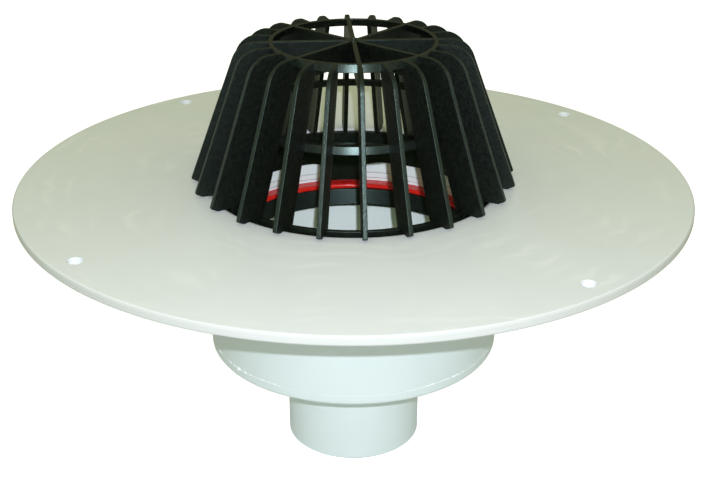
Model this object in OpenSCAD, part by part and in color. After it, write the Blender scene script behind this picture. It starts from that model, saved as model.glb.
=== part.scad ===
// Flat roof drain: a round flange plate with a sump body and an outlet pipe below it,
// a sealing ring inside the body, and a leaf strainer that stands in the mouth.
// The outlet's lower end lies on z = 0, and the drain's axis is the z axis.

/* [Flange plate] */
// Diameter of the flange plate
plate_d = 360; // [300:1:450]
// Thickness of the flange plate
plate_t = 5; // [4:0.5:8]
// Rounding of the plate's outer edge, above and below
plate_edge_round = 1.4; // [0.5:0.1:1.8]
// Rounding of the mouth, from the plate's top face down into the body
mouth_round = 5; // [2:0.5:8]
// Number of fixing holes
fixing_count = 4; // [3:1:12]
// Diameter of a fixing hole
fixing_d = 7.5; // [4:0.5:10]
// Distance from the plate's edge to the centre of a fixing hole
fixing_inset = 12.25; // [8:0.25:20]
// Direction of the first fixing hole
fixing_angle = 39.2; // [0:0.1:90]

/* [Body] */
// Outer diameter of the body tube
body_d = 160; // [140:1:200]
// Wall of the body tube
body_wall = 4; // [3:0.5:6]
// Height of the body, from the plate's underside to the base disc's underside
body_h = 90; // [75:1:140]
// Depth of the groove in the plate's underside that the body tube stands in
seat_depth = 2; // [1:0.5:2.5]
// Height of the base disc's rim, which shows below the body tube
base_rim_h = 6; // [5:0.5:12]
// Height of the base disc's spigot, which stands inside the body tube
base_spigot_h = 4; // [3:0.5:8]
// Rounding of the base disc's lower edge
base_round = 4.5; // [1:0.5:5]
// Radial gap that the solvent cement fills
cement_gap = 0.15; // [0.05:0.05:0.3]

/* [Outlet] */
// Outer diameter of the outlet pipe
outlet_d = 75; // [50:1:110]
// Wall of the outlet pipe
outlet_wall = 3; // [2:0.1:4]
// Length of the outlet pipe below the base disc
outlet_drop = 61; // [40:1:120]
// Depth of the socket in the base disc that the outlet pipe is cemented into
socket_depth = 8; // [5:0.5:8]
// Chamfer on the outlet pipe's lower end
outlet_chamfer = 0.8; // [0.3:0.1:1.2]
// How far the outlet pipe's upper end is turned down to stand in the socket
outlet_step = 0.6; // [0.6:0.1:1]
// Length of the turned-down end that stays below the base disc
outlet_relief = 0.5; // [0.3:0.1:2]

/* [Seal] */
// Depth of the seal groove's upper face below the plate's top face
groove_depth = 31.3; // [30:0.1:40]
// Height of the seal groove
groove_h = 10; // [9:0.5:12]
// Depth of the upper line turned into the body tube's bore, below the plate's top face
upper_line_depth = 26.3; // [22:0.1:27]
// Depth of the lower line turned into the body tube's bore, below the plate's top face
lower_line_depth = 29.6; // [28:0.1:29.8]
// Width of a turned line
line_w = 0.6; // [0.3:0.1:1]
// Depth of a turned line in the wall
line_cut = 0.35; // [0.2:0.05:0.6]
// How far the groove is cut into the body tube's wall
groove_cut = 1.2; // [0.8:0.1:1.8]
// Height of the support ring
ring_h = 2.9; // [2:0.1:4]
// How far the support ring stands in from the body tube's wall
ring_reach = 6.9; // [5:0.1:9]
// Rounding of the support ring's inner edge
ring_round = 1.2; // [0.5:0.1:1.4]
// Gap between a ring and the groove that holds it
ring_gap = 0.2; // [0.1:0.05:0.5]
// How far the lip's free edge stands in from the body tube's wall
lip_reach = 9.2; // [7:0.1:12]
// Depth of the lip's free edge below the support ring
lip_drop = 10.2; // [9:0.1:14]
// Thickness of the lip
lip_t = 1.8; // [1.2:0.1:2.5]
// Radius of the bead along the lip's free edge
lip_bead_r = 1.1; // [0.8:0.1:1.5]

/* [Strainer cage] */
// Height of the strainer above the plate
strainer_h = 76.5; // [60:0.5:110]
// Number of spokes across the strainer's top
spoke_count = 8; // [4, 6, 8]
// Number of fins in the space from one spoke to the next
fins_per_spoke = 3; // [2:1:4]
// Direction of the first spoke
spoke_angle = 3.8; // [0:0.1:45]
// Thickness of a fin
fin_t = 2.4; // [1.8:0.1:3]
// Width of a fin, measured towards the axis
fin_depth = 17.8; // [12:0.1:22]
// Lean of the fins from upright
fin_lean = 20.2; // [15:0.1:24]
// Radius of the fins' shoulder
shoulder_r = 13.5; // [8:0.5:16]
// How far the fins' feet reach out over the plate, from the edge of the mouth
foot_reach = 6.3; // [4.5:0.1:10]
// Height of a foot's outer corner above the plate
foot_h = 2; // [1:0.1:4]
// How far a foot's outer corner stands out from where the foot meets the plate
foot_slant = 3.9; // [2:0.1:4]
// How far along both of its sides a foot's outer corner is cut off
foot_cut = 0.6; // [0.3:0.1:1.2]
// Width of a spoke
spoke_w = 2.4; // [1.8:0.1:3]
// Depth of a spoke
spoke_h = 9.5; // [6:0.5:14]
// Diameter of the hub
hub_d = 6; // [5:0.5:10]
// Diameter of the round dimple in the hub
dimple_d = 3; // [2:0.5:4]
// Depth of the dimple
dimple_depth = 0.8; // [0.4:0.1:1.5]
// Wall of the top ring
top_ring_wall = 2.3; // [1.8:0.1:4]
// Height of the top ring
top_ring_h = 4.6; // [3:0.1:8]
// Wall of the middle ring
mid_ring_wall = 2.5; // [1.8:0.1:4]
// Height of the middle ring
mid_ring_h = 4.1; // [3:0.1:8]
// Height of the middle ring's top face above the plate
mid_ring_z = 38.3; // [30:0.1:50]
// How deep the rings bite into the fins' inner edges
ring_bite = 0.3; // [0.2:0.1:1]
// Depth of the fins' roots, which run down the outside of the skirt
root_depth = 12; // [5:0.5:18]
// Gap between the fins' roots and the body tube's wall
root_gap = 0.5; // [0.3:0.1:1]

/* [Strainer skirt] */
// Gap between the skirt and the body tube's wall
skirt_gap = 1.5; // [0.5:0.1:3]
// Wall of the skirt
skirt_wall = 2.5; // [2:0.1:4]
// Depth of the skirt below the plate's top face
skirt_depth = 17; // [12:0.1:22]
// Height of the skirt's rim above the plate's top face
skirt_rim = 0.8; // [0.5:0.1:2]
// Depth of the ledge inside the skirt, below the plate's top face
ledge_depth = 6.5; // [4:0.1:10]
// Width of the ledge inside the skirt
ledge_w = 0.7; // [0.3:0.1:0.9]
// Height of the chamfer inside the skirt's lower edge
skirt_chamfer_h = 2; // [1:0.1:5]
// Width of the chamfer inside the skirt's lower edge
skirt_chamfer_w = 1.4; // [0.5:0.1:1.6]
// Number of legs below the skirt
leg_count = 4; // [3:1:6]
// Width of a leg
leg_w = 25; // [10:0.5:26]
// Depth of the legs' ends below the plate's top face
leg_depth = 30; // [26:0.5:30.5]
// Rounding of a leg's lower corners
leg_round = 3; // [1:0.5:5]
// Rounding between a leg's sides and the skirt's lower edge
leg_fillet = 9; // [2:0.5:9]

/* [Hidden] */
$fn = 96;
// how far a cutting shape runs past the face that it cuts
over = 1;
// how far the curve beside a leg runs past the leg's side and the skirt's edge, to cross them both
leg_blend = 0.2;

// heights, from the outlet's lower end
base_z = outlet_drop;
plate_bottom_z = base_z + body_h;
plate_top_z = plate_bottom_z + plate_t;
groove_top_z = plate_top_z - groove_depth;
groove_bottom_z = groove_top_z - groove_h;

// radii of the plate, the body and the outlet
plate_r = plate_d / 2;
body_r = body_d / 2;
bore_r = body_r - body_wall;
mouth_rise = min(mouth_round, plate_t);
mouth_r = bore_r + mouth_rise;
outlet_r = outlet_d / 2;
outlet_bore_r = outlet_r - outlet_wall;
outlet_end_r = outlet_r - outlet_step;
groove_r = bore_r + groove_cut;

// support ring and lip seal, which share the groove
ring_inner_r = bore_r - ring_reach;
ring_top_z = groove_top_z - ring_gap;
ring_bottom_z = ring_top_z - ring_h;
heel_w = 5;
lip_tip_r = bore_r - lip_reach + lip_bead_r;
lip_tip_z = ring_bottom_z - lip_drop + lip_bead_r;
lip_root_r = bore_r - ring_reach + lip_t / 2;
lip_root_z = ring_bottom_z - lip_t / 2;

// the fins' edges, in the plane of radius and height above the plate
lean = tan(fin_lean);
foot_r = mouth_r + foot_reach;
edge_at_plate = foot_r + lean * foot_h;
shoulder_z = strainer_h - shoulder_r;
shoulder_x = edge_at_plate - shoulder_r / cos(fin_lean) - lean * shoulder_z;
fin_count = spoke_count * fins_per_spoke;
slant = atan(foot_h / foot_slant);
function outer_edge(z) = edge_at_plate - lean * z;
function inner_edge(z) = outer_edge(z) - fin_depth;
top_ring_r = inner_edge(strainer_h - top_ring_h) + ring_bite;
skirt_r = bore_r - skirt_gap;
skirt_inner_r = skirt_r - skirt_wall;

// a ring around the z axis, cut from between two radii and two heights
module ring(outer_r, inner_r, low, high) {
    translate([0, 0, low])
        difference() {
            cylinder(r = outer_r, h = high - low);
            translate([0, 0, -over])
                cylinder(r = inner_r, h = high - low + 2 * over);
        }
}

// everything that stands around the axis at equal angles
module around(count, first = 0) {
    for (i = [0 : count - 1])
        rotate([0, 0, first + i * 360 / count])
            children();
}

// what the rounding of the mouth takes off, above the plate's underside
module mouth_cut() {
    difference() {
        translate([bore_r - over, plate_t - mouth_rise])
            square([mouth_rise + over, mouth_rise + over]);
        translate([mouth_r, plate_t - mouth_rise])
            circle(r = mouth_rise);
    }
}

// half section of the plate: rounded outer edge, a mouth that rolls over into the body,
// and the groove that the body tube stands in
module plate_section() {
    difference() {
        union() {
            translate([bore_r, 0])
                square([plate_r - plate_edge_round - bore_r, plate_t]);
            translate([bore_r, plate_edge_round])
                square([plate_r - bore_r, plate_t - 2 * plate_edge_round]);
            for (z = [plate_edge_round, plate_t - plate_edge_round])
                translate([plate_r - plate_edge_round, z])
                    circle(r = plate_edge_round);
        }
        mouth_cut();
        translate([bore_r - over, -over])
            square([body_wall + cement_gap + over, seat_depth + over]);
    }
}

module flange_plate() {
    color([0.87, 0.90, 0.86])
        translate([0, 0, plate_bottom_z])
            difference() {
                rotate_extrude()
                    plate_section();
                around(fixing_count, fixing_angle)
                    translate([plate_r - fixing_inset, 0, -over])
                        cylinder(d = fixing_d, h = plate_t + 2 * over);
            }
}

// half section of the body tube, above the plate's underside and below it
module tube_section() {
    difference() {
        translate([bore_r, base_rim_h - body_h])
            square([body_wall, body_h - base_rim_h + seat_depth]);
        mouth_cut();
        translate([bore_r - over, groove_bottom_z - plate_bottom_z])
            square([groove_cut + over, groove_h]);
        for (depth = [upper_line_depth, lower_line_depth])
            translate([bore_r, plate_t - depth])
                polygon([[-line_cut, -line_w], [line_cut, 0], [-line_cut, line_w]]);
    }
}

module body_tube() {
    color([0.88, 0.94, 0.92])
        translate([0, 0, plate_bottom_z])
            rotate_extrude()
                tube_section();
}

// half section of the base disc: rim under the tube, spigot inside it, socket for the outlet
module base_section() {
    difference() {
        union() {
            square([body_r - base_round, base_rim_h]);
            translate([0, base_round])
                square([body_r, base_rim_h - base_round]);
            intersection() {
                translate([body_r - base_round, base_round])
                    circle(r = base_round);
                square([body_r, base_rim_h]);
            }
            square([bore_r - cement_gap, base_rim_h + base_spigot_h]);
        }
        translate([-over, -over])
            square([outlet_bore_r + over, base_rim_h + base_spigot_h + 2 * over]);
        translate([-over, -over])
            square([outlet_end_r + cement_gap + over, socket_depth + over]);
    }
}

module base_disc() {
    color([0.88, 0.94, 0.92])
        translate([0, 0, base_z])
            rotate_extrude()
                base_section();
}

module outlet_pipe() {
    color([0.86, 0.93, 0.91])
        rotate_extrude()
            polygon([
                [outlet_bore_r, 0],
                [outlet_r - outlet_chamfer, 0],
                [outlet_r, outlet_chamfer],
                [outlet_r, outlet_drop - outlet_relief],
                [outlet_end_r, outlet_drop - outlet_relief],
                [outlet_end_r, outlet_drop + socket_depth],
                [outlet_bore_r, outlet_drop + socket_depth]
            ]);
}

module support_ring() {
    color([0.68, 0.12, 0.13])
        rotate_extrude()
            union() {
                translate([ring_inner_r + ring_round, ring_bottom_z])
                    square([groove_r - ring_gap - ring_inner_r - ring_round, ring_h]);
                translate([ring_inner_r, ring_bottom_z + ring_round])
                    square([ring_round, ring_h - 2 * ring_round]);
                for (z = [ring_bottom_z + ring_round, ring_top_z - ring_round])
                    translate([ring_inner_r + ring_round, z])
                        circle(r = ring_round);
            }
}

// half section of the lip seal: a heel in the groove, and a lip that leans in and down
module lip_section() {
    lip_angle = atan2(lip_tip_z - lip_root_z, lip_tip_r - lip_root_r);
    lip_l = norm([lip_tip_r - lip_root_r, lip_tip_z - lip_root_z]);
    translate([groove_r - ring_gap - heel_w, groove_bottom_z])
        square([heel_w, ring_bottom_z - groove_bottom_z]);
    translate([lip_root_r, lip_root_z - lip_t / 2])
        square([groove_r - ring_gap - lip_root_r, lip_t]);
    translate([lip_root_r, lip_root_z])
        circle(d = lip_t);
    translate([lip_root_r, lip_root_z])
        rotate([0, 0, lip_angle])
            translate([0, -lip_t / 2])
                square([lip_l, lip_t]);
    translate([lip_tip_r, lip_tip_z])
        circle(r = lip_bead_r);
}

module lip_seal() {
    color([0.13, 0.15, 0.14])
        rotate_extrude()
            lip_section();
}

// one fin in its own plane: foot, leaning edge, round shoulder, flat top and leaning inner edge
module fin_outline() {
    difference() {
        union() {
            polygon([
                [0, 0],
                [0, strainer_h],
                [shoulder_x, strainer_h],
                [shoulder_x + shoulder_r * cos(fin_lean), shoulder_z + shoulder_r * sin(fin_lean)],
                [foot_r - foot_cut * sin(fin_lean), foot_h + foot_cut * cos(fin_lean)],
                [foot_r - foot_cut * cos(slant), foot_h - foot_cut * sin(slant)],
                [foot_r - foot_slant, 0]
            ]);
            translate([shoulder_x, shoulder_z])
                circle(r = shoulder_r);
        }
        polygon([
            [-over, -over],
            [-over, strainer_h + over],
            [inner_edge(strainer_h + over), strainer_h + over],
            [inner_edge(-over), -over]
        ]);
    }
    translate([skirt_r - over, -root_depth])
        square([over + skirt_gap - root_gap, root_depth + over]);
}

// stands an outline upright, as a plate of thickness t in the plane of radius and height
module upright(t) {
    translate([0, t / 2, 0])
        rotate([90, 0, 0])
            linear_extrude(t)
                children();
}

// the spokes and the hub, which stand at the full depth of a spoke, with a dimple in the hub
module spokes() {
    translate([0, 0, strainer_h - spoke_h])
        difference() {
            linear_extrude(spoke_h) {
                circle(d = hub_d);
                around(spoke_count, spoke_angle)
                    translate([0, -spoke_w / 2])
                        square([inner_edge(strainer_h - spoke_h) + ring_bite, spoke_w]);
            }
            translate([0, 0, spoke_h - dimple_depth])
                cylinder(d = dimple_d, h = dimple_depth + over);
        }
}

// half section of the middle ring, whose outer face leans like the fins that it joins
module mid_ring_section() {
    low = mid_ring_z - mid_ring_h;
    outer_low = inner_edge(low) + ring_bite;
    outer_high = inner_edge(mid_ring_z) + ring_bite;
    polygon([
        [outer_low - mid_ring_wall, low],
        [outer_low, low],
        [outer_high, mid_ring_z],
        [outer_high - mid_ring_wall, mid_ring_z]
    ]);
}

// half section of the skirt and its legs: rim, ledge inside, and a chamfer above the legs
module skirt_section() {
    lower_r = skirt_inner_r - ledge_w;
    polygon([
        [skirt_r, -leg_depth],
        [skirt_r, skirt_rim],
        [skirt_inner_r, skirt_rim],
        [skirt_inner_r, -ledge_depth],
        [lower_r, -ledge_depth],
        [lower_r, skirt_chamfer_h - skirt_depth],
        [lower_r + skirt_chamfer_w, -skirt_depth],
        [lower_r + skirt_chamfer_w, -leg_depth]
    ]);
}

// outline of a leg as seen from the axis: rounded lower corners, and sides that curve out above
module leg_outline() {
    half = leg_w / 2;
    centre_x = half + leg_fillet - leg_blend;
    centre_z = leg_blend - leg_fillet - skirt_depth;
    difference() {
        translate([-centre_x, centre_z])
            square([2 * centre_x, over - skirt_depth - centre_z]);
        for (x = [-centre_x, centre_x])
            translate([x, centre_z])
                circle(r = leg_fillet);
    }
    translate([-half, leg_round - leg_depth])
        square([leg_w, leg_depth - leg_round - skirt_depth + over]);
    translate([leg_round - half, -leg_depth])
        square([leg_w - 2 * leg_round, leg_depth - skirt_depth + over]);
    for (x = [leg_round - half, half - leg_round])
        translate([x, leg_round - leg_depth])
            circle(r = leg_round);
}

// the skirt, cut away below its lower edge between the legs
module skirt() {
    intersection() {
        rotate_extrude()
            skirt_section();
        union() {
            translate([0, 0, -skirt_depth])
                cylinder(r = skirt_r + over, h = skirt_depth + skirt_rim + over);
            around(leg_count, spoke_angle)
                rotate([90, 0, 90])
                    linear_extrude(skirt_r + over)
                        leg_outline();
        }
    }
}

module strainer() {
    color([0.12, 0.13, 0.12])
        translate([0, 0, plate_top_z]) {
            ring(top_ring_r, top_ring_r - top_ring_wall, strainer_h - top_ring_h, strainer_h);
            rotate_extrude()
                mid_ring_section();
            skirt();
            spokes();
            around(fin_count, spoke_angle)
                upright(fin_t)
                    fin_outline();
        }
}

flange_plate();
body_tube();
base_disc();
outlet_pipe();
support_ring();
lip_seal();
strainer();
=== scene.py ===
"""Looks of a flat roof drain: white PVC flange, body and outlet, red and black seal, black strainer.
Plain numbers of length are millimetres, and heights run up from the plate's top face."""

import math
import random

import bmesh
import bpy
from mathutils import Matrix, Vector


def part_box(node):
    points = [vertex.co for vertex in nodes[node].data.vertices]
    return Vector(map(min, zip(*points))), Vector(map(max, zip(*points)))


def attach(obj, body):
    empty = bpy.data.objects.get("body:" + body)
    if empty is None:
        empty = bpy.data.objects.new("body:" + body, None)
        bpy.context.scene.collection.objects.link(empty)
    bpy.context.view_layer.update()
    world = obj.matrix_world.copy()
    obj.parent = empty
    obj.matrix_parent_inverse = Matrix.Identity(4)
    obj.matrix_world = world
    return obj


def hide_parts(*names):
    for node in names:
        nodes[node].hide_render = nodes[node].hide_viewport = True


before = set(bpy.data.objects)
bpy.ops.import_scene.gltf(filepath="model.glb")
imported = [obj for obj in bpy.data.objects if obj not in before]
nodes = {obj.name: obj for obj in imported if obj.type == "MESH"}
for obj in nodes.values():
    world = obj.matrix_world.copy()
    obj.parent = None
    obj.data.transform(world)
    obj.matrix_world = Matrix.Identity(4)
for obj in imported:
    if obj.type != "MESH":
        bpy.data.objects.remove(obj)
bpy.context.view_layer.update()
scene = bpy.context.scene

MM = 0.001
PLATE_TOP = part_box("flange_plate")[1].z / MM


def ends(node):
    """A node's lowest and highest height over the plate's top face."""
    low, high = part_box(node)
    return low.z / MM - PLATE_TOP, high.z / MM - PLATE_TOP


# plate
PLATE_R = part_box("flange_plate")[1].x / MM
PLATE_T = -ends("flange_plate")[0]
EDGE_ROUND = 1.4
MOUTH_ROUND = PLATE_T
HOLE_R = 3.75
HOLE_ROUND = 0.3
HOLE_REACH = PLATE_R - 12.25
HOLE_ANGLE = 39.2

# body, base disc and outlet
BODY_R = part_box("body_tube")[1].x / MM
BODY_SEAM = ends("body_tube")[0]
BORE_R = 76.0
TURNED_LINES = (-26.3, -29.6)
BASE_LOW, BASE_HIGH = ends("base_disc")
BASE_ROUND = 2.2
SPIGOT_R = 75.85
SOCKET_R = 37.05
SOCKET_DEPTH = 8
OUTLET_BORE_R = 34.5

# strainer: fins, spokes and hub
LEG_LOW, STRAINER_H = ends("strainer")
FIN_COUNT = 24
FIN_T = 2.4
FIN_DEPTH = 17.8
FIN_EDGE = 0.4
LEAN = math.tan(math.radians(20.2))
SHOULDER_R = 13.5
FOOT_R = 87.3
FOOT_H = 2.0
FOOT_SLANT = 3.9
ROOT_LOW = -12
ROOT_INNER_R = 73.4
ROOT_OUTER_R = 75.5
SPOKE_ANGLE = 3.8
SPOKE_LOW = STRAINER_H - 12.3
SPOKE_END = 1.8
HUB_R = 3.2
HUB_RISE = 0.6
DIMPLE_R = 1.5
DIMPLE_DEPTH = 0.8

# strainer: rings, skirt and legs
SMALL_ROUND = 0.3
TOP_RING_R = 44.08
TOP_RING_H = 4.2
TOP_RING_T = 2.3
MID_RING_LOW = 34.2
MID_RING_HIGH = 38.3
MID_RING_T = 2.5
RING_PROUD = 0.3
SKIRT_R = 74.5
SKIRT_TOP = 0.8
SKIRT_LOW = -18.4
BAND_TOP = -6.5
BAND_LOW = -15
ABOVE_BAND_R = 72
BAND_R = 71.3
BELOW_BAND_R = 72.6
LEG_COUNT = 4
LEG_HALF = 12.5
LEG_ROUND = 3
LEG_SLOPE_HALF = 23
LEG_SLOPE_R = 30

# camera and lamp
CAMERA_DISTANCE = 651.5
CAMERA_HEIGHT = 256.85
CAMERA_PITCH = math.radians(24.29)
CAMERA_LENS = 65.74
LAMP_SIZE = 7
LAMP_POWER = 3.57
LAMP_COLOUR = (0.97, 1.0, 1.25)
LAMP_PLACE = (10, -CAMERA_DISTANCE, PLATE_TOP + CAMERA_HEIGHT + 29)
LAMP_TARGET = (0, 0, PLATE_TOP - 20)


# ---------------------------------------------------------------- meshes

def rounded(corners):
    """A closed outline from (x, y, radius) corners, each turned into an arc of its radius."""
    outline = []
    for i, (x, y, radius) in enumerate(corners):
        corner = Vector((x, y))
        to_last = (Vector(corners[i - 1][:2]) - corner).normalized()
        to_next = (Vector(corners[(i + 1) % len(corners)][:2]) - corner).normalized()
        half = to_last.angle(to_next) / 2
        centre = corner + (to_last + to_next).normalized() * (radius / math.sin(half))
        arm = corner + to_last * (radius / math.tan(half)) - centre
        turn = math.pi - 2 * half
        if to_last.x * to_next.y - to_last.y * to_next.x > 0:
            turn = -turn
        steps = 3 + int(radius / 1.5)
        for step in range(steps + 1):
            a = turn * step / steps
            outline.append((centre.x + arm.x * math.cos(a) - arm.y * math.sin(a),
                            centre.y + arm.x * math.sin(a) + arm.y * math.cos(a)))
    return outline


def arc(x, y, radius, start, end, steps):
    """Points on an arc about (x, y) between two angles in degrees."""
    turns = [math.radians(start + (end - start) * step / steps) for step in range(steps + 1)]
    return [(x + radius * math.cos(a), y + radius * math.sin(a)) for a in turns]


def inset(outline, amount):
    """The anticlockwise outline moved in by an amount, along the mitre of each corner."""
    moved = []
    for i, point in enumerate(outline):
        here = Vector(point)
        before = (here - Vector(outline[i - 1])).normalized()
        after = (Vector(outline[(i + 1) % len(outline)]) - here).normalized()
        normal_before = Vector((-before.y, before.x))
        normal_after = Vector((-after.y, after.x))
        mitre = (normal_before + normal_after).normalized()
        moved.append(tuple(here + mitre * (amount / mitre.dot(normal_before))))
    return moved


def circle(x, y, radius, segments, z):
    """Points on a level circle, anticlockwise from above."""
    turns = [2 * math.pi * step / segments for step in range(segments)]
    return [(x + radius * math.cos(a), y + radius * math.sin(a), z) for a in turns]


class Shape:
    """Vertices and faces being gathered for one piece, in millimetres."""

    def __init__(self):
        self.vertices = []
        self.faces = []

    def grid(self, loops, closed=False, caps=False):
        """Quads between loops of equally many points, closed from the last loop to the first or capped."""
        base = len(self.vertices)
        n = len(loops[0])
        for loop in loops:
            self.vertices += loop
        for row in range(len(loops) if closed else len(loops) - 1):
            low = base + row * n
            high = base + (row + 1) % len(loops) * n
            for i in range(n):
                after = (i + 1) % n
                self.faces.append((low + i, low + after, high + after, high + i))
        if caps:
            self.faces.append(tuple(base + i for i in range(n)))
            self.faces.append(tuple(base + (len(loops) - 1) * n + i for i in range(n)))

    def rings(self, profile, segments, x=0.0, y=0.0):
        """An open surface of radius and height turned around an upright axis at (x, y)."""
        self.grid([circle(x, y, r, segments, z) for r, z in profile])

    def flat(self, circles, z):
        """A level face between circles of (x, y, radius, segments)."""
        face = bmesh.new()
        for x, y, radius, segments in circles:
            corners = [face.verts.new(point) for point in circle(x, y, radius, segments, z)]
            for i, corner in enumerate(corners):
                face.edges.new((corners[i - 1], corner))
        bmesh.ops.triangle_fill(face, edges=face.edges[:], use_beauty=True, normal=(0, 0, 1))
        face.verts.index_update()
        base = len(self.vertices)
        self.vertices += [tuple(v.co) for v in face.verts]
        self.faces += [tuple(base + v.index for v in f.verts) for f in face.faces]
        face.free()

    def lathe(self, outline, segments=256):
        """The closed outline of radius and height, turned around the axis."""
        self.swept([(360 * s / segments, outline) for s in range(segments)])

    def swept(self, sections):
        """Closed outlines of radius and height, each at its angle in degrees, joined round the axis."""
        loops = []
        for degrees, outline in sections:
            a = math.radians(degrees)
            loops.append([(r * math.cos(a), r * math.sin(a), z) for r, z in outline])
        self.grid(loops, closed=True)

    def upright(self, outline, thickness, edge, degrees):
        """A plate in the plane of radius and height at an angle in degrees, with its edges rounded."""
        cos, sin = math.cos(math.radians(degrees)), math.sin(math.radians(degrees))
        loops = []
        for side in (-1, 1):
            for turn in (90, 60, 30, 0)[::side]:
                t = math.radians(turn)
                offset = side * (thickness / 2 - edge * (1 - math.cos(t)))
                loops.append([(r * cos - offset * sin, r * sin + offset * cos, z)
                              for r, z in inset(outline, edge * (1 - math.sin(t)))])
        self.grid(loops, caps=True)

    def piece(self, name, material, node=None):
        """Makes the object, riding on the body, in place of a CAD node if one is named."""
        mesh = bpy.data.meshes.new(name)
        places = [(x * MM, y * MM, (z + PLATE_TOP) * MM) for x, y, z in self.vertices]
        mesh.from_pydata(places, [], self.faces)
        whole = bmesh.new()
        whole.from_mesh(mesh)
        bmesh.ops.remove_doubles(whole, verts=whole.verts, dist=0.001 * MM)
        bmesh.ops.recalc_face_normals(whole, faces=whole.faces)
        whole.to_mesh(mesh)
        whole.free()
        mesh.shade_smooth()
        mesh.set_sharp_from_angle(angle=math.radians(50))
        mesh.materials.append(material)
        made = bpy.data.objects.new(name, mesh)
        scene.collection.objects.link(made)
        bpy.context.view_layer.update()
        made.modifiers.new("weighted_normals", "WEIGHTED_NORMAL").keep_sharp = True
        if node:
            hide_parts(node)
        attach(made, "root")


# ---------------------------------------------------------------- colour and node helpers

# A Mix node repeats its socket names for each kind of value. These are its two colours and their mix.
FIRST, SECOND, RESULT = 6, 7, 2


def srgb(hex_code):
    """The linear RGBA of an sRGB hex colour."""
    parts = [int(hex_code[i:i + 2], 16) / 255 for i in (1, 3, 5)]
    return (*[c / 12.92 if c <= 0.04045 else ((c + 0.055) / 1.055) ** 2.4 for c in parts], 1.0)


def add_node(tree, kind, settings=(), links=()):
    """A node with its settings, {socket or property: value or hex colour}, and links, {socket: output}."""
    node = tree.nodes.new(kind)
    for name, value in dict(settings).items():
        if isinstance(value, str) and value.startswith("#"):
            value = srgb(value)
        if isinstance(name, int) or name in node.inputs:
            node.inputs[name].default_value = value
        else:
            setattr(node, name, value)
    for name, output in dict(links).items():
        tree.links.new(output, node.inputs[name])
    return node


def new_material(name):
    """An empty material, its Principled shader and the object coordinates in metres."""
    material = bpy.data.materials.new(name)
    material.use_nodes = True
    tree = material.node_tree
    tree.nodes.clear()
    shader = add_node(tree, "ShaderNodeBsdfPrincipled")
    add_node(tree, "ShaderNodeOutputMaterial", links={"Surface": shader.outputs["BSDF"]})
    place = add_node(tree, "ShaderNodeTexCoord").outputs["Object"]
    return material, tree, shader, place


def link_looks(tree, shader, looks):
    """Links each named socket of the shader to an output."""
    for name, output in looks.items():
        tree.links.new(output, shader.inputs[name])


def cloudy(tree, place, size_mm, low, high, detail=3.0, stretch=(1, 1, 1)):
    """A value that wanders from low to high over patches of that size."""
    stretched = add_node(tree, "ShaderNodeMapping", {"Scale": stretch}, {"Vector": place})
    patches = add_node(tree, "ShaderNodeTexNoise", {"Scale": 1 / (size_mm * MM), "Detail": detail},
                       {"Vector": stretched.outputs[0]})
    ranged = add_node(tree, "ShaderNodeMapRange",
                      {"From Min": 0.32, "From Max": 0.68, "To Min": low, "To Max": high},
                      {"Value": patches.outputs["Fac"]})
    return ranged.outputs[0]


def from_axis(tree, place):
    """The level vector from the drain's axis to a place, and its length."""
    level = add_node(tree, "ShaderNodeVectorMath", {"operation": "MULTIPLY", 1: (1, 1, 0)}, {0: place})
    reach = add_node(tree, "ShaderNodeVectorMath", {"operation": "LENGTH"}, {0: level.outputs[0]})
    return level.outputs[0], reach.outputs["Value"]


# ---------------------------------------------------------------- materials

def pvc_sheet():
    """Rigid PVC sheet, pressed, satin: pale curved smears a cloth leaves, and a duller machined edge."""
    material, tree, shader, place = new_material("rigid_pvc_sheet_pressed")

    # the smears are rings 13 mm apart, bent and broken up; a Wave node draws 20 / tau rings to a unit
    rings = add_node(tree, "ShaderNodeTexWave",
                     {"wave_type": "RINGS", "rings_direction": "Z", "Scale": math.tau / 20 / (13.09 * MM),
                      "Distortion": 14.0, "Detail": 3.0, "Detail Scale": 0.8}, {"Vector": place})
    streak = add_node(tree, "ShaderNodeMapRange", {"From Min": 0.5, "From Max": 1.0, "To Max": 0.45},
                      {"Value": rings.outputs["Fac"]})
    smear = add_node(tree, "ShaderNodeMath", {"operation": "MULTIPLY", "use_clamp": True},
                     {0: streak.outputs[0], 1: cloudy(tree, place, 38, -1.0, 1.2, 2)})
    rim = add_node(tree, "ShaderNodeMapRange",
                   {"From Min": (PLATE_R - 1.0) * MM, "From Max": (PLATE_R - 0.3) * MM},
                   {"Value": from_axis(tree, place)[1]})

    plain = add_node(tree, "ShaderNodeMix", {"data_type": "RGBA", FIRST: "#E1E6E4", SECOND: "#E4E8E5"},
                     {0: cloudy(tree, place, 45, 0, 1, 2)})
    smeared = add_node(tree, "ShaderNodeMix", {"data_type": "RGBA", SECOND: "#EFF2EE"},
                       {0: smear.outputs[0], FIRST: plain.outputs[RESULT]})
    tone = add_node(tree, "ShaderNodeMix", {"data_type": "RGBA", SECOND: "#C6C9BF"},
                    {0: rim.outputs[0], FIRST: smeared.outputs[RESULT]})
    rough = add_node(tree, "ShaderNodeMath", {"operation": "MULTIPLY_ADD", 1: 0.3},
                     {0: rim.outputs[0], 2: cloudy(tree, place, 11, 0.34, 0.46)})
    pressed = add_node(tree, "ShaderNodeBump", {"Distance": 0.006 * MM},
                       {"Height": cloudy(tree, place, 0.9, 0, 1, 2)})
    shader.inputs["IOR"].default_value = 1.53
    link_looks(tree, shader, {"Base Color": tone.outputs[RESULT], "Roughness": rough.outputs[0],
                              "Normal": pressed.outputs[0]})
    return material


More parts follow.
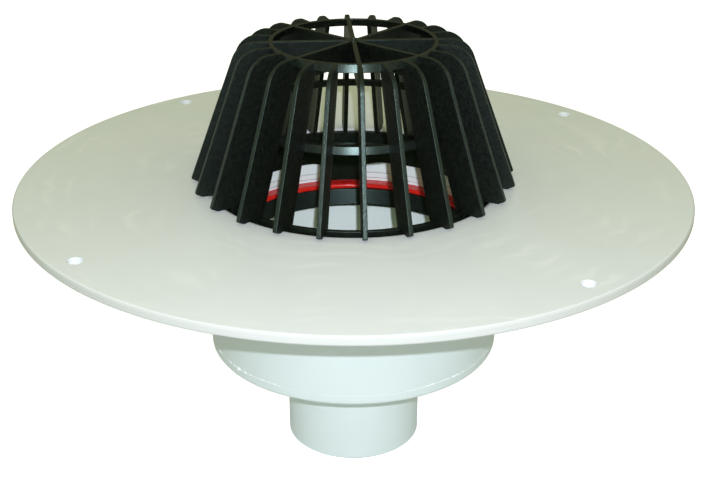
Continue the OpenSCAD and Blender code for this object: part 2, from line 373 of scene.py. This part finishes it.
def pvc_pipe(name, dull, bright, inner_r, turned=()):
    """Rigid PVC pipe, extruded, satin: faint draw lines, an inside painted whiter as painted light, and
    painted shade in any turned lines.
    The draw lines are drawn coarser than real ones, or they would not show."""
    material, tree, shader, place = new_material(name)
    outside = add_node(tree, "ShaderNodeMapRange",
                       {"From Min": (inner_r + 0.5) * MM, "From Max": (inner_r + 1.5) * MM},
                       {"Value": from_axis(tree, place)[1]})
    drift = add_node(tree, "ShaderNodeMix", {"data_type": "RGBA", FIRST: dull, SECOND: bright},
                     {0: cloudy(tree, place, 22, 0.2, 0.8)})
    # the bore is painted whiter than the outside: painted light for the light that reaches inside the pipe
    tone = add_node(tree, "ShaderNodeMix", {"data_type": "RGBA", FIRST: "#F4FFF3"},
                    {0: outside.outputs[0], SECOND: drift.outputs[RESULT]})

    up = add_node(tree, "ShaderNodeSeparateXYZ", links={0: place}).outputs["Z"]
    # each turned line in the bore is painted dark grey: painted shade for the shadow in its groove
    for height in turned:
        line = add_node(tree, "ShaderNodeMath",
                        {"operation": "COMPARE", 1: (PLATE_TOP + height) * MM, 2: 0.3 * MM}, {0: up})
        in_bore = add_node(tree, "ShaderNodeMath", {"operation": "SUBTRACT", "use_clamp": True},
                           {0: line.outputs[0], 1: outside.outputs[0]})
        groove_shade = add_node(tree, "ShaderNodeMath", {"operation": "MULTIPLY"},
                        {0: in_bore.outputs[0], 1: cloudy(tree, place, 9, 0.25, 0.7)})
        tone = add_node(tree, "ShaderNodeMix", {"data_type": "RGBA", SECOND: "#8D8F88"},
                        {0: groove_shade.outputs[0], FIRST: tone.outputs[RESULT]})

    drawn = add_node(tree, "ShaderNodeBump", {"Distance": 0.003 * MM},
                     {"Height": cloudy(tree, place, 1.3, 0, 1, 4, (1, 1, 0.02))})
    shader.inputs["IOR"].default_value = 1.53
    link_looks(tree, shader, {"Base Color": tone.outputs[RESULT],
                              "Roughness": cloudy(tree, place, 9, 0.3, 0.4), "Normal": drawn.outputs[0]})
    return material


def red_plastic():
    """Red polypropylene, moulded, glossy: an even red with soft highlights."""
    material, tree, shader, place = new_material("red_polypropylene_moulded")
    tone = add_node(tree, "ShaderNodeMix", {"data_type": "RGBA", FIRST: "#DF1A17", SECOND: "#E82519"},
                    {0: cloudy(tree, place, 14, 0, 1)})
    shader.inputs["IOR"].default_value = 1.49
    link_looks(tree, shader, {"Base Color": tone.outputs[RESULT],
                              "Roughness": cloudy(tree, place, 8, 0.26, 0.33)})
    return material


def seal_rubber():
    """EPDM rubber, moulded, satin: nearly black, with a faint green shine.
    Its fine grain is drawn coarser than a real one, or it would not show."""
    material, tree, shader, place = new_material("epdm_rubber_moulded")
    tone = add_node(tree, "ShaderNodeMix", {"data_type": "RGBA", FIRST: "#0A0D0B", SECOND: "#141916"},
                    {0: cloudy(tree, place, 7, 0, 1)})
    grain = add_node(tree, "ShaderNodeBump", {"Distance": 0.01 * MM},
                     {"Height": cloudy(tree, place, 0.7, 0, 1)})
    shader.inputs["IOR"].default_value = 1.52
    shader.inputs["Specular Tint"].default_value = srgb("#D8FFEA")
    link_looks(tree, shader, {"Base Color": tone.outputs[RESULT],
                              "Roughness": cloudy(tree, place, 3, 0.36, 0.48), "Normal": grain.outputs[0]})
    return material


def black_moulding():
    """Black polypropylene, moulded: polished faces round the axis, eroded grain on the fins' sides.
    The grain is drawn about three times coarser than a real one, or it would not show."""
    material, tree, shader, place = new_material("black_polypropylene_moulded")

    # 1 on faces that look out from the axis or in to it, 0 on the sides of the fins
    outward, reach = from_axis(tree, place)
    radial = add_node(tree, "ShaderNodeVectorMath", {"operation": "NORMALIZE"}, {0: outward})
    normal = add_node(tree, "ShaderNodeNewGeometry").outputs["Normal"]
    along = add_node(tree, "ShaderNodeVectorMath", {"operation": "DOT_PRODUCT"},
                     {0: radial.outputs[0], 1: normal})
    facing = add_node(tree, "ShaderNodeMath", {"operation": "ABSOLUTE"}, {0: along.outputs["Value"]})
    side_to_face = {"From Min": 0.55, "From Max": 0.8}

    # 1 on the fins outside a cone that leans as they do, close to 0 on the rings and the skirt inside it
    smooth_r, grainy_r = 72, 76
    up = add_node(tree, "ShaderNodeSeparateXYZ", links={0: place}).outputs["Z"]
    cone = add_node(tree, "ShaderNodeMath", {"operation": "MULTIPLY_ADD", 1: LEAN}, {0: up, 2: reach})
    grainy = add_node(tree, "ShaderNodeMapRange",
                      {"From Min": (smooth_r + LEAN * PLATE_TOP) * MM,
                       "From Max": (grainy_r + LEAN * PLATE_TOP) * MM, "To Min": 0.12, "To Max": 1.0},
                      {"Value": cone.outputs[0]})

    tone = add_node(tree, "ShaderNodeMix", {"data_type": "RGBA", FIRST: "#040504", SECOND: "#141711"},
                    {0: cloudy(tree, place, 2.2, 0, 1, 5)})
    polish = add_node(tree, "ShaderNodeMapRange", {**side_to_face, "To Min": 0.4, "To Max": 0.3},
                      {"Value": facing.outputs[0]})
    rough = add_node(tree, "ShaderNodeMath", {"operation": "MULTIPLY_ADD"},
                     {0: cloudy(tree, place, 1.0, 0.04, 0.22, 4), 1: grainy.outputs[0],
                      2: polish.outputs[0]})
    fin_shine = add_node(tree, "ShaderNodeMapRange", {"To Min": 0.44, "To Max": 0.58},
                         {"Value": grainy.outputs[0]})
    shine = add_node(tree, "ShaderNodeMapRange", {**side_to_face, "To Min": 0.3},
                     {"Value": facing.outputs[0], "To Max": fin_shine.outputs[0]})
    grain = add_node(tree, "ShaderNodeMath", {"operation": "MULTIPLY"},
                     {0: cloudy(tree, place, 0.9, 0, 1, 2), 1: grainy.outputs[0]})
    eroded = add_node(tree, "ShaderNodeBump", {"Distance": 0.07 * MM}, {"Height": grain.outputs[0]})
    shader.inputs["IOR"].default_value = 1.49
    shader.inputs["Specular Tint"].default_value = srgb("#DDFFE8")
    link_looks(tree, shader, {"Base Color": tone.outputs[RESULT], "Roughness": rough.outputs[0],
                              "Specular IOR Level": shine.outputs[0], "Normal": eroded.outputs[0]})
    return material


def solvent_cement():
    """Solvent cement squeezed out of a pipe joint, set glossy and clear to white."""
    material, tree, shader, place = new_material("solvent_cement_set")
    tone = add_node(tree, "ShaderNodeMix", {"data_type": "RGBA", FIRST: "#E9EEE8", SECOND: "#F4F6F0"},
                    {0: cloudy(tree, place, 2, 0, 1)})
    shader.inputs["IOR"].default_value = 1.45
    link_looks(tree, shader, {"Base Color": tone.outputs[RESULT],
                              "Roughness": cloudy(tree, place, 1.5, 0.15, 0.3)})
    return material


sheet = pvc_sheet()
# one PVC in two tones: the body's is painted a little darker and the outlet's a little lighter, painted
# shade and painted light for how strongly the lamp lights each
body_pipe = pvc_pipe("rigid_pvc_body_pipe", "#CFDAD1", "#D3DDD4", BORE_R, TURNED_LINES)
outlet_pipe = pvc_pipe("rigid_pvc_outlet_pipe", "#D4DED5", "#D7E1D9", OUTLET_BORE_R)

for node_name, cad_material in (("body_tube", body_pipe), ("outlet_pipe", outlet_pipe),
                                ("support_ring", red_plastic()), ("lip_seal", seal_rubber())):
    nodes[node_name].data.materials.clear()
    nodes[node_name].data.materials.append(cad_material)


# ---------------------------------------------------------------- flange plate and joint

def make_plate():
    """The plate: a rounded rim, a mouth that rolls over into the body, and four fixing holes."""
    plate = Shape()
    turns = [math.radians(HOLE_ANGLE + quarter * 90) for quarter in range(4)]
    holes = [(HOLE_REACH * math.cos(a), HOLE_REACH * math.sin(a)) for a in turns]
    around_rim, around_mouth, around_hole = 360, 256, 40
    flat_r = PLATE_R - EDGE_ROUND
    mouth_r = BORE_R + MOUTH_ROUND
    plate.rings(arc(flat_r, -EDGE_ROUND, EDGE_ROUND, 90, 0, 6)
                + arc(flat_r, EDGE_ROUND - PLATE_T, EDGE_ROUND, 0, -90, 6), around_rim)
    plate.rings(arc(mouth_r, -MOUTH_ROUND, MOUTH_ROUND, 90, 180, 10), around_mouth)
    for x, y in holes:
        entry = arc(HOLE_R + HOLE_ROUND, -HOLE_ROUND, HOLE_ROUND, 90, 180, 3)
        plate.rings(entry + [(HOLE_R, -PLATE_T)], around_hole, x, y)
    top_holes = [(x, y, HOLE_R + HOLE_ROUND, around_hole) for x, y in holes]
    plate.flat([(0, 0, flat_r, around_rim), (0, 0, mouth_r, around_mouth)] + top_holes, 0)
    bottom_holes = [(x, y, HOLE_R, around_hole) for x, y in holes]
    plate.flat([(0, 0, flat_r, around_rim), (0, 0, BORE_R, around_mouth)] + bottom_holes, -PLATE_T)
    plate.piece("flange_plate_sheet", sheet, "flange_plate")


def make_base():
    """The base disc: a rim under the tube, a spigot inside it and the outlet's socket."""
    disc = Shape()
    socket_top = BASE_LOW + SOCKET_DEPTH
    disc.lathe(rounded([
        (SOCKET_R, BASE_LOW, 0.3), (BODY_R, BASE_LOW, BASE_ROUND), (BODY_R, BODY_SEAM, 0.25),
        (SPIGOT_R, BODY_SEAM, 0.1), (SPIGOT_R, BASE_HIGH, 0.5), (OUTLET_BORE_R, BASE_HIGH, 0.5),
        (OUTLET_BORE_R, socket_top, 0.1), (SOCKET_R, socket_top, 0.1)]))
    disc.piece("base_disc_turned", body_pipe, "base_disc")


def make_cement():
    """The thin, uneven line of cement round the joint of body and base, wiped in front, with some drops."""
    chance = random.Random(4)
    drops = [(chance.uniform(-62, 242), chance.uniform(0.4, 1.2), chance.uniform(0.1, 0.4))
             for _ in range(80)]
    drops += [(220, 2.4, 0.5), (224, 1.4, 0.45), (227, 0.8, 0.4)]
    sections = []
    for step in range(900):
        degrees = step * 360 / 900
        a = math.radians(degrees)
        wiped = math.exp(-(((degrees - 262) / 28) ** 4))
        thick = 0.18 - 0.14 * wiped + 0.05 * math.sin(7 * a) * math.sin(3 * a)
        for at, width, height in drops:
            off = (degrees - at + 180) % 360 - 180
            thick += height * math.exp(-3 * (off / width) ** 2)
        middle = BODY_SEAM + 0.25 * math.sin(11 * a) - 0.2 * thick
        around = [math.tau * k / 8 for k in range(8)]
        sections.append((degrees, [(BODY_R - 0.1 + thick * math.cos(t), middle + 1.3 * thick * math.sin(t))
                                   for t in around]))
    bead = Shape()
    bead.swept(sections)
    bead.piece("joint_cement", solvent_cement())


# ---------------------------------------------------------------- strainer

def outer_edge(z):
    """Radius of a fin's leaning outer edge at a height."""
    return FOOT_R + LEAN * (FOOT_H - z)


def inner_edge(z):
    """Radius of a fin's inner edge at a height."""
    return outer_edge(z) - FIN_DEPTH


def fin_outline(to_hub):
    """One fin in its own plane, with its root in the bore. A fin that goes to the hub ends in a spoke.
    Its outward corners are rounder than FIN_EDGE, so that the rounded edges don't fold over."""
    corners = [
        (inner_edge(0), 0, 0.5), (ROOT_INNER_R, 0, 0.2), (ROOT_INNER_R, ROOT_LOW, 0.5),
        (ROOT_OUTER_R, ROOT_LOW, 0.6), (ROOT_OUTER_R, 0, 0.3), (FOOT_R - FOOT_SLANT, 0, 0.5),
        (FOOT_R, FOOT_H, 0.8), (outer_edge(STRAINER_H), STRAINER_H, SHOULDER_R)]
    if to_hub:
        corners += [(SPOKE_END, STRAINER_H, 0.5), (SPOKE_END, SPOKE_LOW, 0.5),
                    (inner_edge(SPOKE_LOW), SPOKE_LOW, 0.5)]
    else:
        corners += [(inner_edge(STRAINER_H), STRAINER_H, 0.5)]
    return rounded(corners)


def add_fins(cage):
    """The fins, every third of which carries on as a spoke."""
    for i in range(FIN_COUNT):
        cage.upright(fin_outline(i % 3 == 0), FIN_T, FIN_EDGE, SPOKE_ANGLE + i * 360 / FIN_COUNT)


def add_ring(cage, low, low_r, high, high_r, wall):
    """A ring whose faces lean in from a lower to a higher outer radius."""
    cage.lathe(rounded([(low_r - wall, low, SMALL_ROUND), (low_r, low, SMALL_ROUND),
                        (high_r, high, SMALL_ROUND), (high_r - wall, high, SMALL_ROUND)]))


def add_hub(cage):
    """The hub, a short boss with a dimple in its top."""
    top = STRAINER_H + HUB_RISE
    dimple = top - DIMPLE_DEPTH
    on_axis = 0.01
    cage.lathe(rounded([(on_axis, SPOKE_LOW, 0.001), (HUB_R, SPOKE_LOW, SMALL_ROUND), (HUB_R, top, 0.8),
                        (DIMPLE_R, top, 0.2), (DIMPLE_R - 0.2, dimple, 0.2), (on_axis, dimple, 0.001)]), 48)


def lower_edge(x):
    """Height of the skirt's lower edge at a distance from the middle of a leg: the leg's flat end with
    its round corners, then a curve that runs out into the skirt's level edge."""
    x = abs(x)
    flat_half = LEG_HALF - LEG_ROUND
    if x < flat_half:
        return LEG_LOW
    if x < LEG_HALF:
        return LEG_LOW + LEG_ROUND - math.sqrt(LEG_ROUND ** 2 - (x - flat_half) ** 2)
    return SKIRT_LOW - max(0, LEG_SLOPE_HALF - x) ** 2 / (2 * LEG_SLOPE_R)


def skirt_section(low):
    """Section of the skirt down to its lower edge, with a thicker band inside."""
    return rounded([
        (ABOVE_BAND_R, SKIRT_TOP, 0.4), (ABOVE_BAND_R, BAND_TOP, SMALL_ROUND),
        (BAND_R, BAND_TOP, SMALL_ROUND), (BAND_R, BAND_LOW, SMALL_ROUND),
        (BELOW_BAND_R, BAND_LOW, SMALL_ROUND), (BELOW_BAND_R, low, SMALL_ROUND),
        (SKIRT_R, low, SMALL_ROUND), (SKIRT_R, SKIRT_TOP, 0.4)])


def add_skirt(cage):
    """The skirt and its legs: close sections across each leg and its slopes, and wider ones between.
    Two sections a hair apart on each side of a leg make the leg's upright side."""
    reach = LEG_SLOPE_HALF + 0.1
    across = [reach * (step / 30 - 1) for step in range(61)]
    across += [side * (LEG_HALF + hair) for side in (-1, 1) for hair in (-0.01, 0.01)]
    wall_r = SKIRT_R - 0.5
    edge = math.degrees(math.asin(reach / wall_r))
    between = 360 / LEG_COUNT - 2 * edge
    wide_steps = 28
    sections = []
    for leg in range(LEG_COUNT):
        middle = SPOKE_ANGLE + leg * 360 / LEG_COUNT
        for x in sorted(across):
            sections.append((middle + math.degrees(math.asin(x / wall_r)), skirt_section(lower_edge(x))))
        for step in range(1, wide_steps):
            sections.append((middle + edge + between * step / wide_steps, skirt_section(SKIRT_LOW)))
    cage.swept(sections)


def make_strainer():
    """The one-piece leaf strainer: fins, spokes and hub, two rings, and the skirt with its legs."""
    cage = Shape()
    add_fins(cage)
    # a hair under the fins' tops, so that no two faces lie in one plane
    top = STRAINER_H - 0.04
    add_ring(cage, top - TOP_RING_H, TOP_RING_R + LEAN * TOP_RING_H, top, TOP_RING_R, TOP_RING_T)
    add_ring(cage, MID_RING_LOW, inner_edge(MID_RING_LOW) + RING_PROUD,
             MID_RING_HIGH, inner_edge(MID_RING_HIGH) + RING_PROUD, MID_RING_T)
    add_hub(cage)
    add_skirt(cage)
    cage.piece("strainer_moulding", black_moulding(), "strainer")


make_plate()
make_base()
make_cement()
make_strainer()


# ---------------------------------------------------------------- stage, camera and light

def make_floor():
    """A matt white floor that shines white to the camera and keeps a soft shadow."""
    half = 6.0
    mesh = bpy.data.meshes.new("floor")
    mesh.from_pydata([(-half, -half, 0), (half, -half, 0), (half, half, 0), (-half, half, 0)], [],
                     [(0, 1, 2, 3)])
    floor = bpy.data.objects.new("floor", mesh)
    scene.collection.objects.link(floor)
    material = bpy.data.materials.new("white_paper_floor")
    material.use_nodes = True
    tree = material.node_tree
    tree.nodes.clear()
    path = add_node(tree, "ShaderNodeLightPath")
    paper = add_node(tree, "ShaderNodeBsdfDiffuse", {"Color": (0.65, 0.66, 0.67, 1)})
    dark = add_node(tree, "ShaderNodeEmission", {"Strength": 0.0})
    glow = add_node(tree, "ShaderNodeEmission", {"Color": "#FFFFFF", "Strength": 0.85})
    seen = add_node(tree, "ShaderNodeMixShader", links={
        0: path.outputs["Is Camera Ray"], 1: dark.outputs[0], 2: glow.outputs[0]})
    both = add_node(tree, "ShaderNodeAddShader", links={0: paper.outputs[0], 1: seen.outputs[0]})
    add_node(tree, "ShaderNodeOutputMaterial", links={"Surface": both.outputs[0]})
    mesh.materials.append(material)


def make_world():
    """Room light: pale grey at the sides, yellower overhead, dim and warm low behind the drain.
    The camera sees plain white."""
    world = bpy.data.worlds.new("studio")
    world.use_nodes = True
    scene.world = world
    tree = world.node_tree
    tree.nodes.clear()
    direction = add_node(tree, "ShaderNodeTexCoord").outputs["Generated"]
    height = add_node(tree, "ShaderNodeSeparateXYZ", links={0: direction}).outputs["Z"]
    overhead = add_node(tree, "ShaderNodeMapRange", {"From Min": 0.0, "From Max": 0.6}, {"Value": height})
    low_behind = add_node(tree, "ShaderNodeVectorMath", {"operation": "DOT_PRODUCT", 1: (0, 0.9, -0.45)},
                          {0: direction})
    behind = add_node(tree, "ShaderNodeMapRange", {"From Min": 0.5, "From Max": 0.75},
                      {"Value": low_behind.outputs["Value"]})
    walls = add_node(tree, "ShaderNodeMix", {"data_type": "RGBA", FIRST: "#D4DEDB", SECOND: "#BCBF97"},
                     {0: overhead.outputs[0]})
    room = add_node(tree, "ShaderNodeMix", {"data_type": "RGBA", SECOND: "#6B6740"},
                    {0: behind.outputs[0], FIRST: walls.outputs[RESULT]})
    path = add_node(tree, "ShaderNodeLightPath")
    light = add_node(tree, "ShaderNodeBackground", {"Strength": 1.0}, {"Color": room.outputs[RESULT]})
    white = add_node(tree, "ShaderNodeBackground", {"Color": "#FFFFFF", "Strength": 1.0})
    either = add_node(tree, "ShaderNodeMixShader", links={
        0: path.outputs["Is Camera Ray"], 1: light.outputs[0], 2: white.outputs[0]})
    add_node(tree, "ShaderNodeOutputWorld", links={"Surface": either.outputs[0]})


def make_camera():
    """The camera, in front of the drain and above it, pitched down to it."""
    camera = bpy.data.cameras.new("camera")
    camera.sensor_fit = "HORIZONTAL"
    camera.sensor_width = 36.0
    camera.lens = CAMERA_LENS
    camera.clip_start = 0.01
    holder = bpy.data.objects.new("camera", camera)
    holder.location = Vector((0, -CAMERA_DISTANCE, PLATE_TOP + CAMERA_HEIGHT)) * MM
    holder.rotation_euler = (math.pi / 2 - CAMERA_PITCH, 0, 0)
    scene.collection.objects.link(holder)
    scene.camera = holder


def make_lamp():
    """One small round lamp just over the camera, for narrow, crisp shadows."""
    lamp = bpy.data.lights.new("key", "AREA")
    lamp.shape = "DISK"
    lamp.size = LAMP_SIZE * MM
    lamp.energy = LAMP_POWER
    lamp.color = LAMP_COLOUR
    holder = bpy.data.objects.new("key", lamp)
    holder.location = Vector(LAMP_PLACE) * MM
    holder.rotation_euler = (Vector(LAMP_TARGET) - Vector(LAMP_PLACE)).to_track_quat("-Z", "Y").to_euler()
    scene.collection.objects.link(holder)


make_floor()
make_world()
make_camera()
make_lamp()
scene.view_settings.view_transform = "Standard"
